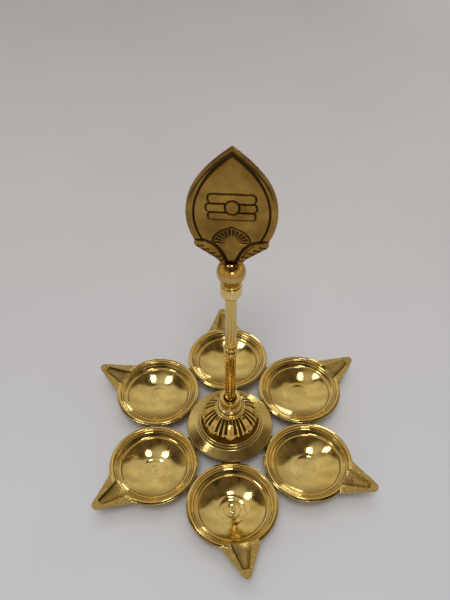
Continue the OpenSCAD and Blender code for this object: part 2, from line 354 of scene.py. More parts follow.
def brass(name, light=GOLD, deep=DEEP_GOLD, gloss=0.12, lathe_lines=0.0, drawn_lines=0.0, cast=0.0,
          tarnish=0.25, seed=1.0):
    """Polished brass: patchy colour, smudges, tool lines, rough casting, blackened hollows and painted shade.

    The mesh marks "cast" and "dark" say where the metal is left rough and where it is darkened, by patina and
    by painted shade.
    """
    s = Shader(name)
    place = s.own_place()
    if drawn_lines:
        place = s.add("ShaderNodeMapping", {"Vector": place, "Scale": (1, 1, 0.05)}).outputs["Vector"]
    batch = s.maths("ADD", s.mark("batch"), seed)
    rough_cast = s.maths("MAXIMUM", s.mark("cast"), cast)
    dark = s.mark("dark")

    patches = s.noise(place, per_mm(0.06), 4, 0.6, batch)
    smudges = s.noise(place, per_mm(0.35), 5, 0.65, batch)
    grain = s.noise(place, per_mm(2.2), 4, 0.6, batch)

    colour = s.blend(s.ramp(patches, 0.35, 0.68), light, deep)
    stained = s.maths("MULTIPLY", s.ramp(smudges, 0.52, 0.78), tarnish)
    stained = s.maths("ADD", stained, s.maths("MULTIPLY", rough_cast, s.ramp(grain, 0.35, 0.65, 0.15, 0.85)))
    colour = s.blend(stained, colour, TARNISH)
    # Painted shade: where the dark mark stands for shade, the colour is blended to near-black too.
    patina_and_painted_shade = s.maths("MULTIPLY", dark, s.ramp(grain, 0.2, 0.75, 1.0, 0.9))
    colour = s.blend(patina_and_painted_shade, colour, PATINA_AND_PAINTED_SHADE)

    roughness = s.ramp(smudges, 0.3, 0.75, gloss * 0.7, gloss * 1.7)
    roughness = s.maths("ADD", roughness, s.maths("MULTIPLY", rough_cast, 0.2))
    roughness = s.maths("ADD", roughness, s.maths("MULTIPLY", dark, 0.35))

    normal = s.bump(s.noise(place, per_mm(0.22), 2, 0.5, batch), 0.06, 0.5)
    if lathe_lines:
        wave_inputs = {"Vector": place, "Scale": per_mm(0.55), "Distortion": 0.6, "Detail": 2.0,
                       "Detail Scale": 1.0}
        rings = s.add("ShaderNodeTexWave", wave_inputs, wave_type="RINGS", rings_direction="Z")
        normal = s.bump(rings.outputs["Fac"], 0.02 * lathe_lines, 1.0, normal)
    if drawn_lines:
        normal = s.bump(s.noise(place, per_mm(0.9), 1, 0.4, batch), 0.02 * drawn_lines, 1.0, normal)
    pits = s.ramp(s.noise(place, per_mm(1.1), 4, 0.7, batch), 0.35, 0.7)
    normal = s.bump(s.maths("MULTIPLY", pits, rough_cast), 0.22, 0.8, normal)
    return s.finish(colour, roughness, normal)


def braze_material():
    """Scorched brazing metal: brown-black with dull golden spots."""
    s = Shader("scorched_braze")
    place = s.own_place()
    lumps = s.noise(place, per_mm(0.8), 5, 0.7, 3.0)
    colour = s.blend(s.ramp(lumps, 0.45, 0.7), (0.045, 0.032, 0.018, 1), (0.34, 0.22, 0.07, 1))
    roughness = s.ramp(lumps, 0.3, 0.7, 0.75, 0.4)
    normal = s.bump(lumps, 0.35, 1.0)
    return s.finish(colour, roughness, normal)


cup_brass = brass("cup_brass_polished", lathe_lines=0.2, gloss=0.075, seed=1)
disc_brass = brass("disc_brass_turned", lathe_lines=0.5, gloss=0.1, seed=2)
chased_brass = brass("chased_brass_dome", gloss=0.13, tarnish=0.35, seed=3)
neck_brass = brass("neck_brass_turned", lathe_lines=0.5, gloss=0.1, seed=4)
rod_brass = brass("rod_brass_drawn", light=(0.76, 0.56, 0.20, 1), drawn_lines=1.3, gloss=0.12, seed=5)
# Painted shade: the ball's brass is made darker than the rest, standing for the dark reflections in its
# mirror surface.
ball_brass = brass("ball_brass_mirror", light=(0.60, 0.40, 0.13, 1), deep=(0.46, 0.29, 0.075, 1),
                   gloss=0.05, tarnish=0.3, seed=6)
leaf_brass = brass("leaf_brass_antique", light=(0.44, 0.26, 0.055, 1), deep=(0.165, 0.085, 0.014, 1),
                   gloss=0.2, tarnish=0.4, seed=7)
aged_brass = brass("aged_brass_fittings", light=(0.45, 0.3, 0.1, 1), deep=(0.3, 0.19, 0.06, 1),
                   gloss=0.3, cast=0.5, tarnish=0.6, seed=8)
scorched = braze_material()


# ---- Cups ----


def spout_reach(angle):
    """Distance from the cup's centre to the spout's straight side or round tip, along that angle."""
    away = np.abs(angle)
    touch = math.atan2(TIP_R * math.cos(SPOUT_SIDE), TIP_X + TIP_R * math.sin(SPOUT_SIDE))
    side = (TIP_R + TIP_X * math.sin(SPOUT_SIDE)) / np.sin(SPOUT_SIDE + np.clip(away, 0, 1.2))
    tip = TIP_X * np.cos(away) + np.sqrt(np.maximum(TIP_R**2 - (TIP_X * np.sin(away)) ** 2, 0))
    return np.where(away < touch, tip, side)


def smooth_max(a, b, bend):
    return np.maximum(a, b) + np.maximum(bend - np.abs(a - b), 0) ** 2 / (4 * bend)


def bowl_profile(mark):
    """The cup's inside, from the middle of the bowl to the rim's inner edge, with its turned rings."""
    r = LEDGE_R * np.linspace(0, 1, 90)
    bowl = np.column_stack([r, FLOOR_Z + (LEDGE_Z - FLOOR_Z) * (r / LEDGE_R) ** BOWL_FLATNESS])
    for ring_r, height, width in ((0, 0.5, 1.1), (3.6, 0.16, 0.9), (7.6, 0.16, 1.0)):
        bowl[:, 1] += mark * height * np.exp(-(((r - ring_r) / width) ** 2))
    slope = rounded([
        (LEDGE_R, LEDGE_Z, 0),
        (LEDGE_R + 0.5, LEDGE_Z + 0.25, 0.25),
        (LEDGE_R + 0.9, LEDGE_Z + 0.85, 0.4),
        (LEDGE_R + 1.6, LEDGE_Z + 1.05, 0.3),
        (CUP_R - 4.3, RIM_Z - 1.95, 0.5),
        (CUP_R - 3.8, RIM_Z - 1.75, 0.25),
        (CUP_R - 3.2, RIM_Z - 1.2, 0.3),
        (RIM_IN_R - 0.7, RIM_Z - 1.0, 0.3),
        (RIM_IN_R - 0.35, RIM_Z - 0.35, 0.35),
        (RIM_IN_R + 0.3, RIM_Z, 0),
    ], steps=4)
    return np.vstack([bowl[:-1], even_steps(slope, 0.3)])


def cup_underside():
    """The cup's outside, from under the rim down to the foot."""
    belly = arc((0, BELLY_Z), BELLY_R, -math.degrees(math.acos(SHOULDER_R / BELLY_R)),
                -math.degrees(math.acos(FOOT_R / BELLY_R)), 12)
    flare = rounded([(CUP_R, RIM_Z - RIM_T, 0), (CUP_R - 1, RIM_Z - 3, 0.5), (*belly[0], 0)])
    return even_steps(np.vstack([flare, belly[1:]]), 0.8)


def cup_foot():
    """The foot ring that stands on the table, and the hollow inside it."""
    top = BELLY_Z - math.sqrt(BELLY_R**2 - FOOT_R**2)
    return rounded([(FOOT_R, top, 0), (FOOT_R - 0.6, top - 1.2, 1.0), (FOOT_R - 0.3, 1.6, 1.2),
                    (FOOT_R + 0.6, 1.1, 0.4), (FOOT_R + 0.6, 0, 0.4), (FOOT_R - FOOT_W, 0, 0.4),
                    (FOOT_R - FOOT_W - 0.4, FLOOR_Z - 2.4, 1.5), (0, FLOOR_Z - 2.0, 0)], steps=4)


def lip_height(x):
    """Height of the top of the spout's lips above the rim's own level."""
    t = (x - CUP_R) / (SPOUT_LEN - CUP_R)
    return SPOUT_RISE * np.clip(t, 0, 1.2)


def channel_height(x, y):
    """Height of the boat-shaped channel's surface; far above the rim where there is no channel."""
    half_width = np.interp(x, [RIM_IN_R - 2, RIM_IN_R, CHANNEL_END_X], [6.4, 5.7, 2.0])
    to_side = 1 - np.abs(y) / half_width
    to_end = (CHANNEL_END_X + 0.7 - x) / 2.6
    inside = np.minimum(to_side, to_end)
    deep = np.interp(x, [RIM_IN_R - 1, RIM_IN_R + 0.6, 27, 31, CHANNEL_END_X], [1.5, 1.7, 2.9, 2.6, 1.9])
    bowl_shape = 1 - (1 - np.clip(inside, 0, 1)) ** 2.4
    here = (inside > 0) & (x > RIM_IN_R - 1)
    return np.where(here, RIM_Z + lip_height(x) - deep * bowl_shape, RIM_Z + 50)


def keel_height(x, y):
    """Height of the spout's underside: a hull that climbs from the bowl to the tip."""
    straight = TIP_R / math.cos(SPOUT_SIDE) + (TIP_X - x) * math.tan(SPOUT_SIDE)
    nose = np.sqrt(np.maximum(TIP_R**2 - (x - TIP_X) ** 2, 0.01))
    half_width = np.where(x < TIP_X + TIP_R * math.sin(SPOUT_SIDE), straight, nose)
    thick = np.interp(x, [LEDGE_R, 26, TIP_X, SPOUT_LEN], [6.6, 5.8, 3.2, 2.2])
    hull = np.sqrt(np.clip(1 - (y / np.maximum(half_width, 0.1)) ** 2, 0, 1))
    return RIM_Z + lip_height(x) - RIM_T - (thick - RIM_T) * hull


def cup_rays():
    """Directions of the cup's grid, closer together in the spout's sector, and 1 where they lie in it."""
    spout_rays = np.linspace(-SPOUT_SECTOR, SPOUT_SECTOR, 134)
    plain_rays = np.linspace(SPOUT_SECTOR, FULL_TURN - SPOUT_SECTOR, 158)[1:-1]
    in_sector = np.concatenate([np.ones(len(spout_rays)), np.zeros(len(plain_rays))])
    return np.concatenate([spout_rays, plain_rays]), in_sector


def cup_rows(index, reach):
    """Kind, radius and height of each row, from the bowl's middle over the rim and back underneath."""
    edge = 0.3
    rows = [("inside", r, z) for r, z in bowl_profile(CENTRE_MARKS[index])]
    start = RIM_IN_R + edge
    for t in ease(np.linspace(0, 1, 42), -0.35, 1.2)[1:] / ease(1.0, -0.35, 1.2):
        rows.append(("rim", start + (reach - edge - start) * t, 0))
    for inset, drop in ((edge * 0.3, edge * 0.25), (0, edge), (0, RIM_T / 2), (0, RIM_T - edge)):
        rows.append(("edge", reach - inset, drop))
    under = cup_underside()
    for r, z in under:
        spread = np.clip((r - LEDGE_R) / (CUP_R - LEDGE_R), 0, 1) ** 0.8
        inset = edge * 0.4 if r == under[0][0] else 0
        rows.append(("under", r + (reach - CUP_R) * spread - inset, 0))
    return rows + [("foot", r, z) for r, z in cup_foot()]


def cup_top_row(index, ray_r, height, x, y, in_sector, past_rim):
    """Height, cast mark and dark mark of a row on the cup's upper side, channel included."""
    outside = ease(ray_r, CUP_R - 0.9, CUP_R + 0.3) * past_rim
    lumps = smooth_noise(points_at(x, y, height), 1.6, 11 + index) * outside
    z = height - 0.12 * outside + 0.09 * lumps
    z = z - 0.5 * ease(ray_r, CUP_R - 1.5, CUP_R + 0.1) * (1 - past_rim)
    channel = channel_height(x, y)
    in_channel = channel < z
    z = np.minimum(z, channel + 0.05 * lumps)
    # Painted shade: the channel is darker and rougher towards its -y side, with a painted shadow line along
    # that side's wall.
    painted_shade_side = ease(y, 2.2, -2.2)
    cast = np.maximum(outside, in_channel * (0.35 + 0.35 * painted_shade_side)) * in_sector
    in_groove = groove(ray_r - LEDGE_R - 0.15, 0.22) + groove(ray_r - CUP_R + 3.95, 0.2)
    painted_shadow_line = groove(y + np.interp(x, [RIM_IN_R, CHANNEL_END_X], [4.6, 1.5]), 0.45)
    dark = np.clip(in_channel * (0.3 * painted_shade_side + 0.65 * painted_shadow_line) + in_groove * 0.45, 0, 1)
    return z, cast, dark


def cup_under_row(ray_r, x, y, top, in_sector):
    """Height of a row on the cup's underside, spout's keel included."""
    under = cup_underside()
    order = np.argsort(under[:, 0])
    plain = np.interp(ray_r, under[order, 0], under[order, 1])
    keel = np.where(x > LEDGE_R - 2, keel_height(x, y), RIM_Z)
    z = np.minimum(np.where(ray_r > CUP_R + 0.01, RIM_Z, plain), np.where(in_sector > 0, keel, RIM_Z))
    return np.minimum(z, top - RIM_T)


def cup_piece(index):
    """One cup with its spout along +X, as one closed grid of rays round the cup's centre."""
    rays, in_sector = cup_rays()
    angle = np.where(rays > math.pi, rays - FULL_TURN, rays)
    ray_points = points_at(30 * np.cos(rays), 30 * np.sin(rays), 7.0 * index)
    edge_wobble = 0.16 * smooth_noise(ray_points, 3.0, 3 + index) * in_sector
    reach = smooth_max(CUP_R, spout_reach(angle) + edge_wobble, 1.6)
    past_rim = ease(reach, CUP_R + 0.2, CUP_R + 1.5)

    verts, cast, dark = [], [], []
    for kind, ray_r, height in cup_rows(index, reach):
        x, y = ray_r * np.cos(rays), ray_r * np.sin(rays)
        top = RIM_Z + lip_height(x) * in_sector
        row_dark = 0 * x
        if kind in ("inside", "rim"):
            level = height if kind == "inside" else top
            z, row_cast, row_dark = cup_top_row(index, ray_r, level, x, y, in_sector, past_rim)
        elif kind == "edge":
            z = top - 0.12 * past_rim - 0.4 * (1 - past_rim) * ease(RIM_T - height, 0.2, 1.2) - height
            row_cast = 0.25 + 0.75 * past_rim
            # Painted shade: the rim's outer edge darkens below its top, a dark outline round the cup where
            # shade falls.
            row_dark = 0.75 * (1 - past_rim) * ease(height, 0.1, 0.6)
        elif kind == "under":
            z = cup_under_row(ray_r, x, y, top, in_sector)
            row_cast = 0.35 + 0.5 * past_rim
        else:
            z = height
            row_cast = 0.5 + 0 * x
        verts.append(points_at(x, y, z))
        cast.append(row_cast)
        dark.append(row_dark)
    batch = np.full((len(verts), len(rays)), 3.7 * index)
    marks = {"cast": np.array(cast), "dark": np.array(dark), "batch": batch}
    faces = grid_faces(len(verts), len(rays))
    place = Matrix.Rotation(FIRST_CUP + index * CUP_STEP, 4, "Z") @ Matrix.Translation((RING_R * MM, 0, 0))
    place = place @ Matrix.Rotation(math.radians(SPOUT_SKEW[index]), 4, "Z")
    node = CUP_NAMES[index]
    verts = np.vstack(verts)
    add_piece("polished_" + node, verts, faces, "base", [node], "cup_brass", cup_brass, marks, place)


for cup_index in range(len(CUP_NAMES)):
    cup_piece(cup_index)


# ---- Brazed seams ----


def seam_lumps(places):
    """A lumpy bead of brazing metal along each notch between two round rims."""
    half_length, along_steps, around_steps = 5.6, 46, 14
    verts, faces = [], []
    for number, (x, y, turn) in enumerate(places):
        centre_line = np.linspace(-half_length, half_length, along_steps)
        notch = 0.1 + CUP_R - np.sqrt(CUP_R**2 - centre_line**2)
        angles = angles_round(around_steps)
        u = np.repeat(centre_line[:, None], around_steps, axis=1)
        taper = np.sqrt(np.clip(1 - (u / half_length) ** 2, 0, 1))
        own_spot = points_at(u + number * 40, np.cos(angles), np.sin(angles))
        lumps = smooth_noise(own_spot * [1, 1.5, 1.5], 1.3, 23).reshape(u.shape)
        width = (notch[:, None] + 0.22 + 0.18 * lumps) * taper
        height = (0.85 + 0.25 * lumps) * taper
        across, up = width * np.cos(angles), height * np.sin(angles)
        z = SEAM_TOP - 0.95 + up
        px = x + u * math.cos(turn) - across * math.sin(turn)
        py = y + u * math.sin(turn) + across * math.cos(turn)
        faces.append(grid_faces(along_steps, around_steps) + number * along_steps * around_steps)
        verts.append(points_at(px, py, z))
    return np.vstack(verts), np.vstack(faces)


def seam_places(distance, first, along_spoke):
    """Middle of each seam at that distance from the stem, and the direction it runs in."""
    turns = [first + k * CUP_STEP for k in range(len(CUP_NAMES))]
    lie = 0 if along_spoke else math.pi / 2
    return [(distance * math.cos(a), distance * math.sin(a), a + lie) for a in turns]


cup_seams = seam_places(RING_R * math.cos(CUP_STEP / 2), FIRST_CUP + CUP_STEP / 2, along_spoke=True)
disc_seams = seam_places(RING_R / 2, FIRST_CUP, along_spoke=False)
add_piece("lumpy_cup_brazes", *seam_lumps(cup_seams), "base", ["cup_brazes"], "braze", scorched)
add_piece("lumpy_disc_brazes", *seam_lumps(disc_seams), "base", ["disc_brazes"], "braze", scorched)


# ---- Pedestal ----


def disc_profile():
    """Flange that falls outwards, and a double-rounded step that the dome stands in."""
    top, bottom = RIM_Z + 0.7, DISC_LOW[2]
    return rounded([
        (CLEAR_R, bottom, 0.2),
        (CUP_R - 0.6, bottom, 0.3),
        (CUP_R, bottom + 0.5, 0.3),
        (CUP_R, top - 0.8, 0.3),
        (CUP_R - 0.3, top - 0.45, 0.25),
        (FLANGE_IN_R + 0.7, top + 1.7, 0.2),
        (FLANGE_IN_R, top + 1.75, 0.2),
        (FLANGE_IN_R + 0.3, top + 2.6, 0.5),
        (FLANGE_IN_R - 0.3, top + 3.2, 0.5),
        (FLANGE_IN_R - 1.0, top + 3.0, 0.2),
        (FLANGE_IN_R - 1.1, top + 3.9, 0.5),
        (FLANGE_IN_R - 1.7, top + 4.2, 0.5),
        (SEAT_R + 0.4, top + 3.7, 0.5),
        (SEAT_R, top + 1.6, 0.5),
        (SEAT_R - 1, top + 1.3, 0.4),
        (CLEAR_R, top + 1.3, 0.2),
    ], steps=6, closed=True)


def dome_side(azimuth):
    """The dome from its crown to its pointed edge: petals, and three dark slots between each two.

    Gives the radius, height and darkness of each row.
    """
    division = FULL_TURN / DIVISIONS
    petal_step = FULL_TURN / PETALS
    from_petal = (azimuth - FIRST_CUP + petal_step / 2) % petal_step - petal_step / 2
    slot_index = np.round(from_petal / division)
    from_slot = from_petal - slot_index * division
    is_slot = np.abs(slot_index) >= 1
    tip = np.clip(1 - np.abs(from_petal) / math.radians(14), 0, 1) ** 1.2
    rib = np.cos(from_slot / division * FULL_TURN)

    edge_r = DOME_R - 0.45 + 0.35 * tip + np.where(is_slot, -0.12 * rib, 0)
    edge_z = DOME_EDGE_Z - 1.9 * tip + np.where(is_slot, 0.25 * rib, 0)
    down = np.linspace(0, 1, 64)[:, None]
    bulge = 4 * DOME_BULGE * down * (1 - down)
    r = DOME_TOP_R + (edge_r - DOME_TOP_R) * down + bulge * DOME_OUT_R
    z = DOME_HIGH[2] + (edge_z - DOME_HIGH[2]) * down + bulge * DOME_OUT_Z

    slope_length = 10.4
    along = down * slope_length
    width = 0.31 * division * (DOME_TOP_R + (DOME_R - DOME_TOP_R) * down)
    across = np.abs(from_slot) * r
    slot_end = np.where(np.abs(slot_index) == 1, 8.5, 9.6)
    past_end = np.maximum(np.maximum(1.0 - along, along - slot_end), 0)
    slot = ease(np.hypot(across, past_end) - width, 0.1, -0.14) * is_slot

    off_middle = np.abs(from_petal) * r
    on_petal = np.clip(1 - (off_middle / (1.2 + 1.6 * down)) ** 2, 0, 1) * ease(down, 0.05, 0.3)
    dimple = np.exp(-((from_petal * r / 0.75) ** 2) - ((along - 7.6) / 1.2) ** 2)
    petal_line = np.exp(-(((off_middle - 1.9 - 1.5 * down) / 0.22) ** 2)) * ease(down, 0.75, 0.9)
    crown = np.cos((from_slot / division - 0.5) * FULL_TURN) * is_slot
    lift = 0.25 * on_petal + 0.14 * crown - 1.2 * slot - 0.28 * dimple - 0.2 * petal_line
    dark = np.clip(slot + dimple * 0.45 + petal_line * 0.6, 0, 1)
    return r + lift * DOME_OUT_R, z + lift * DOME_OUT_Z, dark


def dome_underside(azimuth, edge_r, edge_z):
    """Rows from the pointed edge back through a hollow to the dome's foot, and up its bore to the crown."""
    rows = [
        (edge_r + 0.1, edge_z - 0.35, 0.1),
        (edge_r - 0.2, edge_z - 0.75, 0.3),
        (edge_r - 0.75, edge_z - 0.95, 0.7),
    ]
    for cove_r, cove_z in arc((DOME_R + 1.6, RIM_Z + 5.6), 6.0, 140, 200, 10):
        in_cove = ease(cove_z, RIM_Z + 9.5, RIM_Z + 6.5)
        r = (edge_r - 1.1) * (1 - in_cove) + cove_r * in_cove
        rows.append((r, cove_z, 0.85 * (1 - in_cove * 0.5)))
    foot_r = 11.2
    foot = rounded([
        (foot_r + 0.7, RIM_Z + 3.6, 0),
        (foot_r + 0.5, DOME_LOW[2] + 1.2, 0.3),
        (foot_r, DOME_LOW[2], 0.2),
        (CLEAR_R + 0.1, DOME_LOW[2], 0.1),
        (CLEAR_R + 0.1, DOME_HIGH[2], 0.1),
        (DOME_TOP_R - 1, DOME_HIGH[2], 0.2),
        (DOME_TOP_R, DOME_HIGH[2], 0),
    ], steps=3)[1:-1]
    rows += [(r, z, 0.2) for r, z in foot]
    return [[value + 0 * azimuth for value in row] for row in rows]


def dome_piece():
    """The fluted dome, as one closed grid of rows round the stem."""
    columns = 640
    azimuth = angles_round(columns)
    side = dome_side(azimuth)
    under = dome_underside(azimuth, side[0][-1], side[1][-1])
    r, z, dark = (np.vstack([side[k]] + [row[k][None, :] for row in under]) for k in range(3))
    verts = points_at(r * np.cos(azimuth), r * np.sin(azimuth), z)
    verts += 0.05 * smooth_noise(verts, 1.5, 31)[:, None] * verts / 20
    marks = {"dark": dark, "cast": 0.25 * (dark > 0.3)}
    faces = grid_faces(len(r), columns, wrap_rows=True)
    add_piece("fluted_lotus_dome", verts, faces, "base", ["lotus_dome"], "chased_brass", chased_brass, marks)


def neck_profile():
    """Bead ring, hollowed waist and flat collar round the rod's socket, with the thread below."""
    top = NECK_HIGH[2]
    dome_top = DOME_HIGH[2]
    thread_r = 4
    return rounded([
        (0, NECK_LOW[2], 0),
        (thread_r, NECK_LOW[2], 0.4),
        (thread_r, dome_top, 0.1),
        (7.6, dome_top + 0.05, 0.2),
        (8.1, dome_top + 0.9, 0.8),
        (7.4, dome_top + 1.8, 0.6),
        (6.7, dome_top + 1.5, 0.2),
        (6.5, dome_top + 2.5, 0.5),
        (5.6, dome_top + 2.6, 0.3),
        (4.9, dome_top + 4.0, 1.4),
        (4.8, dome_top + 6.4, 1.2),
        (5.2, top - 2.5, 0.4),
        (5.8, top - 2.0, 0.5),
        (5.8, top - 0.35, 0.4),
        (5.4, top, 0.4),
        (3.9, top - 0.15, 0.2),
        (3.5, top - 0.6, 0.2),
        (ROD_BORE_R, top - 0.9, 0.2),
        (ROD_BORE_R, LOWER_ROD_LOW[2] - 0.1, 0.1),
        (0, LOWER_ROD_LOW[2] - 0.1, 0),
    ], steps=6)


def nut_piece():
    """Hexagon nut with chamfered corners on its lower face."""
    flats = NUT_HIGH[1]
    columns = 72
    azimuth = angles_round(columns)
    hexagon = flats / np.cos((azimuth + math.pi / 6) % (math.pi / 3) - math.pi / 6)
    low, high = NUT_LOW[2], NUT_HIGH[2]
    rows = [(CLEAR_R, low), (np.minimum(hexagon, flats * 0.93), low),
            (np.minimum(hexagon, flats * 1.06), low + 0.5), (hexagon, low + 0.9), (hexagon, high - 0.15),
            (hexagon - 0.15, high), (CLEAR_R, high)]
    verts = [points_at(r * np.cos(azimuth), r * np.sin(azimuth), z) for r, z in rows]
    faces = grid_faces(len(rows), columns, wrap_rows=True)
    add_piece("hexagon_base_nut", np.vstack(verts), faces, "base", ["base_nut"], "aged_brass", aged_brass)


def disc_dark_grooves_and_painted_shade(r, z):
    """Painted shade on the flange's edge and round the dome's foot under its pointed edge, and darkening in
    the step's two grooves.
    """
    edge = ease(r, CUP_R - 0.35, CUP_R - 0.05)
    outer = groove(r - FLANGE_IN_R - 0.15, 0.3)
    inner = groove(r - FLANGE_IN_R + 1.0, 0.25) * ease(z, RIM_Z + 3.2, RIM_Z + 3.5)
    seat = ease(r, SEAT_R + 0.1, SEAT_R - 0.4)
    return np.clip(0.95 * edge + 0.8 * (outer + inner) + 0.5 * seat, 0, 1)


turned("turned_base_disc", disc_profile(), "base", "base_disc", "cup_brass", disc_brass, 256, closed=True,
       dark=disc_dark_grooves_and_painted_shade)
dome_piece()


def neck_painted_shade(r, z):
    """Painted shade in the notch under the bead and in the collar's bore, and a painted dark reflection on
    the waist.
    """
    notch = groove(r - 6.75, 0.35) * ease(z, DOME_HIGH[2] + 2.2, DOME_HIGH[2] + 1.8)
    bore = ease(r, 3.7, 3.5) * ease(z, NECK_HIGH[2] - 3, NECK_HIGH[2] - 2)
    waist = 0.35 * ease(r, 6.0, 5.0) * ease(z, NECK_HIGH[2] - 1.8, NECK_HIGH[2] - 2.6)
    return np.clip(0.8 * notch + 0.9 * bore + waist, 0, 1)


turned("turned_neck_collar", neck_profile(), "base", "neck_collar", "cup_brass", neck_brass, 128,
       dark=neck_painted_shade)
washer_profile = rounded([
    (CLEAR_R, WASHER_LOW[2], 0.15),
    (WASHER_HIGH[0], WASHER_LOW[2], 0.3),
    (WASHER_HIGH[0], WASHER_HIGH[2], 0.15),
    (CLEAR_R, WASHER_HIGH[2], 0.1),
], closed=True)
turned("aged_base_washer", washer_profile, "base", "base_washer", "aged_brass", aged_brass, 96, closed=True)
nut_piece()


# ---- Stem ----


def rod_profile(low, high, hole_low=False):
    """A rod with eased ends and the stud's hole in its upper end, or in its lower one with hole_low."""
    chamfer = 0.25
    hole = 8.0
    outer = [(ROD_R, low, chamfer), (ROD_R, high, chamfer)]
    if hole_low:
        end = low + hole
        corners = [(0, end, 0), (STUD_HOLE_R, end, 0.1), (STUD_HOLE_R, low, 0.1), *outer, (0, high, 0)]
    else:
        end = high - hole
        corners = [(0, low, 0), *outer, (STUD_HOLE_R, high, 0.1), (STUD_HOLE_R, end, 0.1), (0, end, 0)]
    return even_steps(rounded(corners, steps=4), 1.2)


lower_rod = rod_profile(LOWER_ROD_LOW[2], LOWER_ROD_HIGH[2])
upper_rod = rod_profile(UPPER_ROD_LOW[2], UPPER_ROD_HIGH[2], hole_low=True)
for side, profile, seed in (("lower", lower_rod, 41), ("upper", upper_rod, 43)):
    turned(f"drawn_{side}_rod", profile, f"{side}_stem", f"{side}_rod", "rod_brass", rod_brass, 72,
           wobble=0.01, seed=seed)
ring_r = RING_HIGH[0] + 0.5
half_ring = [
    (STUD_HOLE_R, 0, 0.1),
    (ROD_R - 0.2, 0, 0.1),
    (ring_r, 0.15, 0.6),
    (ring_r, 1.5, 0.6),
    (ROD_R - 0.3, 1.75, 0.15),
    (ROD_R + 0.1, 2.2, 0.4),
]
lower_half = [(r, RING_LOW[2] + z, size) for r, z, size in half_ring]
upper_half = [(r, RING_HIGH[2] - z, size) for r, z, size in reversed(half_ring)]
ring_profile = rounded(lower_half + upper_half, closed=True)


def ring_painted_shade(r, z):
    """Painted shade in the groove between the two beads and at the ends, where the ring meets the rods."""
    return 0.9 * ease(r, ROD_R + 0.25, ROD_R - 0.1)


turned("turned_coupling_ring", ring_profile, "lower_stem", "coupling_ring", "rod_brass", neck_brass, 96,
       closed=True, dark=ring_painted_shade)
stud_r = 2
stud_profile = rounded([
    (0, STUD_LOW[2], 0),
    (stud_r, STUD_LOW[2], 0.4),
    (stud_r, STUD_HIGH[2], 0.4),
    (0, STUD_HIGH[2], 0),
])
turned("threaded_coupling_stud", stud_profile, "lower_stem", "coupling_stud", "aged_brass", aged_brass, 48)


# ---- Finial ----

socket_r = SOCKET_HIGH[0]
tang_bore = 2.05
rod_end = UPPER_ROD_HIGH[2] + 0.1
socket_profile = rounded([
    (ROD_BORE_R, SOCKET_LOW[2], 0.15),
    (socket_r - 0.9, SOCKET_LOW[2], 0.4),
    (socket_r, SOCKET_LOW[2] + 0.9, 0.9),
    (socket_r, SOCKET_HIGH[2] - 2.2, 0.5),
    (socket_r - 0.6, SOCKET_HIGH[2] - 1.6, 0.4),
    (3.9, SOCKET_HIGH[2] - 1.5, 0.2),
    (4.7, SOCKET_HIGH[2] - 1.0, 0.5),
    (4.6, SOCKET_HIGH[2] - 0.3, 0.5),
    (3.4, SOCKET_HIGH[2], 0.3),
    (tang_bore, SOCKET_HIGH[2], 0.1),
    (tang_bore, rod_end, 0.1),
    (ROD_BORE_R, rod_end, 0.1),
], steps=6, closed=True)
turned("turned_finial_socket", socket_profile, "finial", "finial_socket", "rod_brass", neck_brass, 128,
       closed=True)

hole_angle = math.degrees(math.acos(tang_bore / BALL_R))
ball_profile = arc((0, BALL_Z), BALL_R, -hole_angle, hole_angle, 72)
turned("mirror_finial_ball", ball_profile, "finial", "finial_ball", "polished_brass", ball_brass, 144,
       closed=True, wobble=0.03, seed=47)


def leaf_outline():
    """Right half of the leaf's outline, from the tip down to the foot."""
    side_r = 33
    side_start = 34
    side = arc((LEAF_W / 2 - side_r, LEAF_TIP_Z - 32.8), side_r, side_start, -25.5, 60)
    lobe = arc((13.9, LEAF_FOOT_Z + 12.7), 2.4, 20, -60, 10)
    foot = [(10.2, LEAF_FOOT_Z + 6.8), (6.9, LEAF_FOOT_Z + 4.3), (5.2, LEAF_FOOT_Z + 2.2), (4.6, LEAF_FOOT_Z)]
    t = np.linspace(0, 1, 16)[:-1, None]
    tip = np.array([0, LEAF_TIP_Z])
    turn = math.radians(side_start)
    bend = side[0] + SHOULDER_REACH * np.array([-math.sin(turn), math.cos(turn)])
    shoulder = (1 - t) ** 2 * tip + 2 * t * (1 - t) * bend + t**2 * side[0]
    return np.vstack([shoulder, side, lobe, foot])


def bar_distance(x, z, low_x, high_x, low_z, high_z):
    """Signed distance to a bar with round ends, less than 0 inside it."""
    round_r = (high_z - low_z) / 2 * 0.8
    qx = np.abs(x - (low_x + high_x) / 2) - (high_x - low_x) / 2 + round_r
    qz = np.abs(z - (low_z + high_z) / 2) - (high_z - low_z) / 2 + round_r
    return np.hypot(np.maximum(qx, 0), np.maximum(qz, 0)) + np.minimum(np.maximum(qx, qz), 0) - round_r


# Right side leaf's upper edge and the line inside it. All chased lines are measured up from the leaf's foot.
SIDE_LEAF_EDGE = [(16.9, 15.1), (13.6, 15.0), (10.5, 14.1), (8.6, 13.1), (7.0, 11.8), (5.3, 9.8), (4.0, 7.4),
                  (2.6, 4.0), (1.7, 0.2)]
INNER_LINE = [(9.6, 12.2), (7.4, 10.1), (5.8, 7.6), (4.6, 4.8)]
BARS = [(-10.0, 10.0, 35.0, 39.9), (-10.9, 10.5, 30.5, 35.0), (-10.0, 10.0, 26.4, 30.5)]
OVAL_X, OVAL_UP = 0.2, 33.0
OVAL_HALF_W, OVAL_HALF_H = 3.1, 3.7
FAN_R = 7.6
FAN_UP = 13.3
FAN_RAYS = 11
FEATHERS = 5
LINE_W = 0.42  # half width of the main chased lines


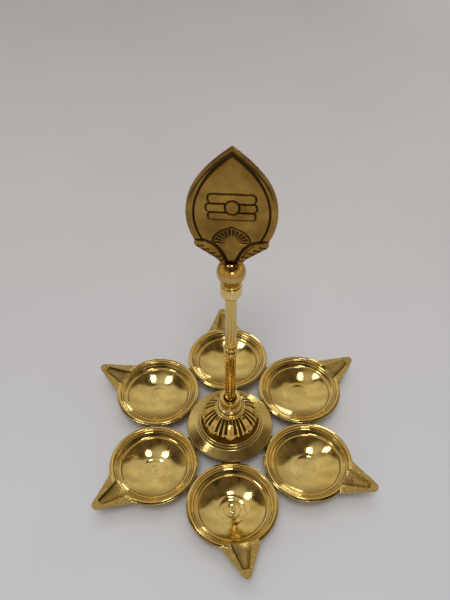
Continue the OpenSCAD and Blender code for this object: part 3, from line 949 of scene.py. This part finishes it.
class Chasing:
    """The leaf's front while its pattern is chased: height above the middle plane, and how dark it is."""

    def __init__(self, x, up, from_edge, height):
        self.x = x
        self.up = up
        self.from_edge = from_edge
        self.height = height
        self.dark = np.zeros_like(height)

    def cut(self, amount, depth, shade=1.0):
        """Sinks and blackens the metal where amount is 1."""
        self.height = self.height - amount * depth
        self.dark = np.maximum(self.dark, amount * shade)

    def edge_lines(self):
        """The line that follows the outline, wide at the tip, and a fine one outside it whose blackening is
        painted shade of the outer bevel.
        """
        above_side_leaves = ease(self.up, 13.8, 16)
        near_tip = ease(self.up, 38, 56)
        inset = 3.3 - 0.9 * near_tip
        self.cut(groove(self.from_edge - inset, LINE_W + 0.5 * near_tip) * above_side_leaves, 0.65)
        # Painted shade: this fine line's blackening stands for the shade on the outer bevel.
        self.cut(groove(self.from_edge - 1.15, LINE_W) * ease(self.up, 34, 43), 0.25, 0.9)

    def bars_and_oval(self):
        """Three raised bars, and a raised oval in the middle of them."""
        oval = np.hypot((self.x - OVAL_X) / OVAL_HALF_W, (self.up - OVAL_UP) / OVAL_HALF_H) - 1
        oval = oval * (OVAL_HALF_W + OVAL_HALF_H) / 2
        outside_oval = ease(oval, 0.0, 0.3)
        for bar in BARS:
            from_bar = bar_distance(self.x, self.up, *bar)
            self.height += 0.22 * ease(from_bar, 0.0, -0.7) * outside_oval
            self.cut(groove(from_bar, 0.4) * outside_oval, 0.5)
        self.height += 0.35 * ease(oval, 0.0, -0.9)
        self.cut(groove(oval, LINE_W), 0.5)

    def side_leaf_x(self):
        """How far out the side leaf begins at each height."""
        edge_x, edge_up = np.array(SIDE_LEAF_EDGE[::-1]).T
        return np.interp(self.up, edge_up, edge_x)

    def fan(self):
        """A sunk fan with a raised, pointed rim and rays cut inside it."""
        above = self.up > FAN_UP
        point = 0.9 * np.clip(1 - np.abs(self.x) / 3.0, 0, 1) ** 1.5
        from_middle = np.hypot(self.x, self.up - FAN_UP) - point
        in_fan = ((from_middle < FAN_R) & above) | ((np.abs(self.x) < self.side_leaf_x()) & ~above)
        self.height += 0.3 * groove(from_middle - FAN_R - 0.2, 0.5) * (self.up > 13)
        self.height -= 0.25 * in_fan
        ray_step = math.pi / FAN_RAYS
        angle = np.arctan2(self.up - FAN_UP, self.x)
        off_ray = ((angle / ray_step + 0.5) % 1 - 0.5) * ray_step * from_middle
        ray_width = 0.25 + 0.5 * ease(from_middle, 3.0, 6.5)
        ends = ease(from_middle, FAN_R + 0.1, FAN_R - 0.2) * ease(from_middle, 2.4, 4.0)
        self.cut(groove(off_ray, ray_width) * ends * (self.up > FAN_UP - 0.4), 0.5)
        self.cut(groove(from_middle - FAN_R - 0.7, 0.4) * above, 0.35)

    def side_leaves(self):
        """Two swelling side leaves with a line along each and short feather cuts."""
        aside = np.abs(self.x)
        on_leaf = (aside > self.side_leaf_x() - 0.3) & (self.up < 14.5)
        swell = ease(self.from_edge, 0.2, 2.4) * 0.5
        self.height = np.where(on_leaf, self.height + swell - 0.2, self.height)
        self.cut(groove(distance_to_line(aside, self.up, SIDE_LEAF_EDGE), 0.72) * (self.up < 15.4), 0.8)
        self.cut(groove(distance_to_line(self.x, self.up, INNER_LINE), 0.3), 0.4, 0.9)
        for t in np.linspace(0, 1, FEATHERS):
            start = (15.6 - 11.0 * t, 10.4 - 7.4 * t)
            bend = (start[0] - 1.7, start[1] + 0.9)
            end = (start[0] - 3.1 + 0.9 * t, start[1] + 1.3 - 0.5 * t)
            feather = distance_to_line(aside, self.up, [start, bend, end])
            self.cut(groove(feather, 0.6) * on_leaf, 0.6)


def leaf_relief(x, z):
    """Height of the leaf's front above its middle plane, and how dark it is, from its chased pattern."""
    from_edge = distance_to_line(np.abs(x), z, leaf_outline())
    height = 1.0 + 0.25 * np.sqrt(np.clip(1 - (x / 17) ** 2, 0, 1))
    band = ease(from_edge, 3.7, 3.0)
    height = height * (1 - band) + 1.4 * band
    front = Chasing(x, z - LEAF_FOOT_Z, from_edge, height)
    front.edge_lines()
    front.bars_and_oval()
    front.fan()
    front.side_leaves()
    rounding = round_over(from_edge, 1.1)
    return EDGE_HALF_T + (front.height - EDGE_HALF_T) * rounding, front.dark


def round_over(from_edge, size):
    """A quarter round: 0 at the edge, 1 from that size inwards."""
    return np.sqrt(np.clip(1 - (1 - np.clip(from_edge / size, 0, 1)) ** 2, 0, 1))


def leaf_piece():
    """The spear-shaped leaf: chased front, plain slightly rounded back, round edges."""
    outline = leaf_outline()
    heights = np.linspace(LEAF_TIP_Z, LEAF_FOOT_Z, 290)
    half_width = np.interp(heights, outline[::-1, 1], outline[::-1, 0])
    front = np.linspace(-1, 1, 211)
    back = np.linspace(1, -1, 61)
    x_front = half_width[:, None] * front
    z_front = np.repeat(heights[:, None], len(front), axis=1)
    relief, dark_front = leaf_relief(x_front, z_front)
    hammer = smooth_noise(points_at(x_front, 0, z_front), 5.0, 51)
    relief = relief + 0.1 * hammer.reshape(relief.shape) * ease(np.abs(front), 1.0, 0.85)
    x_back = half_width[:, None] * back
    z_back = np.repeat(heights[:, None], len(back), axis=1)
    from_edge = distance_to_line(np.abs(x_back), z_back, outline)
    back_out = EDGE_HALF_T + 0.5 * round_over(from_edge, 1.3)
    columns = len(front) + len(back)
    verts = points_at(np.hstack([x_front, x_back]), np.hstack([-relief, back_out]),
                      np.hstack([z_front, z_back]))
    dark = np.hstack([dark_front, 0.05 + 0 * x_back])
    cast = np.hstack([0 * x_front, 0.5 + 0 * x_back])
    faces = grid_faces(len(heights), columns).tolist()
    last = (len(heights) - 1) * columns
    faces.append([last + k for k in range(columns)])
    place = Matrix.Rotation(LEAF_TURN, 4, "Z")
    add_piece("chased_finial_leaf", verts, faces, "finial", ["finial_leaf"], "antique_brass", leaf_brass,
              {"dark": dark, "cast": cast}, place)


leaf_piece()


# ---- Floor, light and camera ----


def floor_material():
    """Pale floor, faintly uneven, bluer near the camera and warmer towards the back, painted lighter there
    against the lights' falloff.
    """
    s = Shader("pale_floor")
    place = s.add("ShaderNodeTexCoord").outputs["Object"]
    cloud = s.noise(place, 6.0, 3, 0.5, 2.0)
    # Painted light: the back of the floor is made lighter to even out the fill lights' falloff.
    far = s.ramp(s.add("ShaderNodeSeparateXYZ", {"Vector": place}).outputs["Y"], -0.1, 0.3)
    near_colour = s.blend(cloud, (0.55, 0.56, 0.595, 1), (0.63, 0.64, 0.675, 1))
    far_colour = s.blend(cloud, (0.605, 0.58, 0.577, 1), (0.685, 0.66, 0.657, 1))
    colour = s.blend(far, near_colour, far_colour)
    surface = s.add("ShaderNodeBsdfPrincipled", {"Base Color": colour, "Roughness": 0.6})
    s.tree.links.new(surface.outputs["BSDF"], s.output.inputs["Surface"])
    return s.material


def add_floor():
    """A round floor, so that no corner of it shows from any side."""
    radius, corners = 2.0, 96
    rim = arc((0, 0), radius, 0, 360, corners)[:-1]
    mesh = bpy.data.meshes.new("floor")
    mesh.from_pydata([(x, y, 0) for x, y in rim], [], [range(corners)])
    mesh.materials.append(floor_material())
    floor = bpy.data.objects.new("floor", mesh)
    bpy.context.scene.collection.objects.link(floor)


def add_window(name, azimuth, elevation, distance, width, height, power, mirrored):
    """A soft rectangular light that faces the lamp from that direction, in degrees and metres.

    A mirrored one shows in the metal only, and the other kind lights only the floor.
    """
    light = bpy.data.lights.new(name, "AREA")
    light.shape = "RECTANGLE"
    light.size, light.size_y = width, height
    light.energy = power
    light.color = (1, 0.985, 0.965)
    lamp = bpy.data.objects.new(name, light)
    around, up = math.radians(azimuth), math.radians(elevation)
    lamp.location = (distance * math.cos(up) * math.cos(around), distance * math.cos(up) * math.sin(around),
                     distance * math.sin(up))
    lamp.rotation_euler = (math.pi / 2 - up, 0, around + math.pi / 2)
    lamp.visible_camera = False
    lamp.visible_glossy = mirrored
    lamp.visible_diffuse = not mirrored
    bpy.context.scene.collection.objects.link(lamp)


# Colours of the surroundings that the metal mirrors
ROOM_DARK = (0.022, 0.016, 0.01, 1)
ROOM_LIGHT = (0.20, 0.15, 0.10, 1)
ROOM_HORIZON = (0.74, 0.57, 0.33, 1)
WALL_FOOT = (0.17, 0.13, 0.09, 1)
WALL = (0.70, 0.65, 0.56, 1)
GLOW = (0.56, 0.54, 0.50, 1)
GLOW_DIRECTION = (-0.17, 0.03, 0.985)
EVEN_LIGHT = (0.26, 0.247, 0.243, 1)
BACKDROP = (0.47, 0.46, 0.45, 1)


def room_colour(s, direction, height, uneven):
    """Dark room overhead and behind the camera, warm near the horizon, with a soft glow in its ceiling."""
    clutter = s.add("ShaderNodeTexNoise", {"Vector": direction, "Scale": 3.2, "Detail": 3.0}).outputs["Fac"]
    room = s.blend(s.ramp(clutter, 0.35, 0.7), ROOM_DARK, ROOM_LIGHT)
    low = s.maths("MULTIPLY", s.ramp(height, 0.72, 0.4), uneven)
    room = s.blend(low, room, ROOM_HORIZON)
    toward_glow = s.add("ShaderNodeVectorMath", {0: direction, 1: GLOW_DIRECTION}, operation="DOT_PRODUCT")
    return s.blend(s.ramp(toward_glow.outputs["Value"], 0.965, 1.0), room, GLOW)


def wall_amount(s, parts):
    """1 toward the wall ahead of the camera, 0 toward the room; its top edge falls away to both sides."""
    aside = s.maths("ABSOLUTE", parts.outputs["X"])
    fall = s.ramp(aside, 0.45, 1.0, 0.0, -0.94)
    ahead = s.maths("ADD", parts.outputs["Y"], fall)
    ahead = s.maths("ADD", ahead, s.maths("MULTIPLY", parts.outputs["Z"], -0.22))
    return s.ramp(ahead, -0.01, 0.02)


def add_surroundings():
    """A pale wall ahead of the camera and a darker room above and behind it, seen only in reflections."""
    world = bpy.data.worlds.new("studio")
    world.use_nodes = True
    bpy.context.scene.world = world
    s = Nodes(world.node_tree)

    direction = s.add("ShaderNodeTexCoord").outputs["Generated"]
    parts = s.add("ShaderNodeSeparateXYZ", {"Vector": direction})
    height = parts.outputs["Z"]
    uneven = s.add("ShaderNodeTexNoise", {"Vector": direction, "Scale": 2.4, "Detail": 4.0}).outputs["Fac"]
    uneven = s.ramp(uneven, 0.35, 0.62, 0.5)
    wall = s.blend(s.maths("MULTIPLY", s.ramp(height, 0.05, 0.45), uneven), WALL_FOOT, WALL)
    mirrored = s.blend(wall_amount(s, parts), room_colour(s, direction, height, uneven), wall)

    path = s.add("ShaderNodeLightPath")
    colour = s.blend(path.outputs["Is Diffuse Ray"], mirrored, EVEN_LIGHT)
    colour = s.blend(path.outputs["Is Camera Ray"], colour, BACKDROP)
    background = s.add("ShaderNodeBackground", {"Color": colour})
    output = s.add("ShaderNodeOutputWorld")
    s.tree.links.new(background.outputs["Background"], output.inputs["Surface"])


def add_camera():
    """Camera above the front cup, looking down over the lamp as the photograph does."""
    camera = bpy.data.objects.new("camera", bpy.data.cameras.new("camera"))
    camera.data.lens = 40.73
    camera.location = (-0.0076, -0.2212, 0.3569)
    look_down = math.radians(46.51)
    heading = math.radians(88.77)
    camera.rotation_euler = (math.pi / 2 - look_down, 0, heading - math.pi / 2)
    bpy.context.scene.collection.objects.link(camera)
    bpy.context.scene.camera = camera


add_floor()
add_surroundings()
# Each window's azimuth, elevation, distance, width, height and power
add_window("window_above", 0, 87, 1.1, 0.14, 0.13, 0.6, mirrored=True)
add_window("window_left", 170, 68, 1.1, 0.14, 0.16, 0.6, mirrored=True)
add_window("window_behind", -82, 36, 1.3, 0.35, 0.2, 1.2, mirrored=True)
add_window("window_low", 65, 8.5, 1.3, 0.36, 0.15, 0.75, mirrored=True)
add_window("front_fill", -95, 66, 1.4, 0.35, 0.35, 7.7, mirrored=False)
add_window("overhead_fill", -80, 84, 1.4, 0.9, 0.9, 5.1, mirrored=False)
add_camera()
bpy.context.scene.view_settings.view_transform = "Standard"
